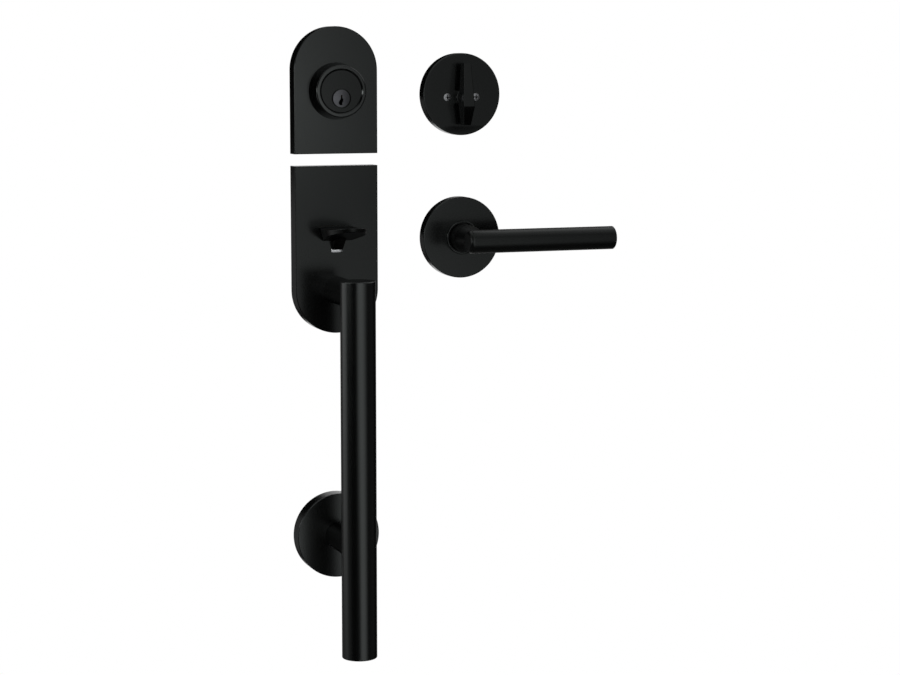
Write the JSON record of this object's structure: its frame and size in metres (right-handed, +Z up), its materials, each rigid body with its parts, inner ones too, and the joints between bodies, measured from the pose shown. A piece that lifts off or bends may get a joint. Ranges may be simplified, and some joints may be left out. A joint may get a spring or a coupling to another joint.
{
  "type": "door handleset",
  "caption": "Satin black entry door handleset: keyed deadbolt plate, thumb-lever plate with a round pull bar, inside thumbturn rose and straight inside lever.",
  "frame": {"origin": "on the door face plane behind the handle plate, on the latch axis", "axes": "+Y into the door, +Z up, +X to the right seen from in front; the inside trim is laid out beside the outside trim, facing the same way"},
  "size_m": [0.2621, 0.1387, 0.5067],
  "materials": {
    "black_paint": "satin black powder coat on die-cast zinc and steel tube",
    "brass": "machined",
    "plug_face": "blackened, rubbed face",
    "zinc_plate": "bright zinc plate",
    "bolt_steel": "plain plated screw",
    "spring_steel": "drawn",
    "acetal": "moulded"
  },
  "bodies": {
    "trim": {"deadbolt_plate": "black_paint", "cylinder_collar": "black_paint", "lock_cylinder": "black_paint", "handle_plate": "black_paint", "pull_tube": "black_paint", "bar_cap_top": "black_paint", "bar_cap_bottom": "black_paint", "upper_post": "black_paint", "lower_post": "black_paint", "bottom_rosette": "black_paint", "turn_rose": "black_paint", "lever_rose": "black_paint", "driver_pins": "brass", "pin_cover": "brass", "pivot_bracket": "zinc_plate", "thumb_pivot_pin": "zinc_plate", "bracket_screws": "zinc_plate", "upper_post_screw": "zinc_plate", "lower_post_screw": "zinc_plate", "rosette_base": "zinc_plate", "rosette_screws": "zinc_plate", "rosette_set_screw": "zinc_plate", "turn_washer": "zinc_plate", "lever_chassis": "zinc_plate", "lever_screws": "zinc_plate", "turn_screws": "bolt_steel", "pin_springs": "spring_steel", "thumb_spring": "spring_steel", "lever_return_spring": "spring_steel", "lever_bushing": "acetal"},
    "plug": {"key_plug": "plug_face", "key_pins": "brass", "plug_cap": "brass"},
    "tailpiece": {"cylinder_tailpiece": "zinc_plate"},
    "thumb": {"thumb_lever": "black_paint"},
    "turn": {"thumbturn": "black_paint", "turn_clip": "zinc_plate"},
    "lever": {"lever_handle": "black_paint", "lever_spindle": "zinc_plate", "lever_set_screw": "zinc_plate", "lever_cam": "zinc_plate", "lever_clip": "zinc_plate"}
  },
  "joints": [
    {"name": "key_turn", "type": "hinge", "parent": "trim", "child": "plug", "pos_m": [0, 0, 0.116], "axis": [0, 1, 0], "range_deg": [-90, 90]},
    {"name": "tailpiece_swing", "type": "hinge", "parent": "plug", "child": "tailpiece", "pos_m": [0, 0, 0.116], "axis": [0, 1, 0], "range_deg": [-45, 45]},
    {"name": "thumb_press", "type": "hinge", "parent": "trim", "child": "thumb", "pos_m": [0, -0.0065, 0], "axis": [1, 0, 0], "range_deg": [0, 16], "stiffness_Nm_per_rad": 0.6, "springref_deg": -14.32, "deforming": ["thumb_spring"]},
    {"name": "thumbturn_turn", "type": "hinge", "parent": "trim", "child": "turn", "pos_m": [0.1097, 0, 0.116], "axis": [0, 1, 0], "range_deg": [-90, 90]},
    {"name": "lever_turn", "type": "hinge", "parent": "trim", "child": "lever", "pos_m": [0.1097, 0, 0], "axis": [0, 1, 0], "range_deg": [-50, 50], "stiffness_Nm_per_rad": 1.2, "springref_deg": -7.18, "deforming": ["lever_return_spring"]}
  ]
}
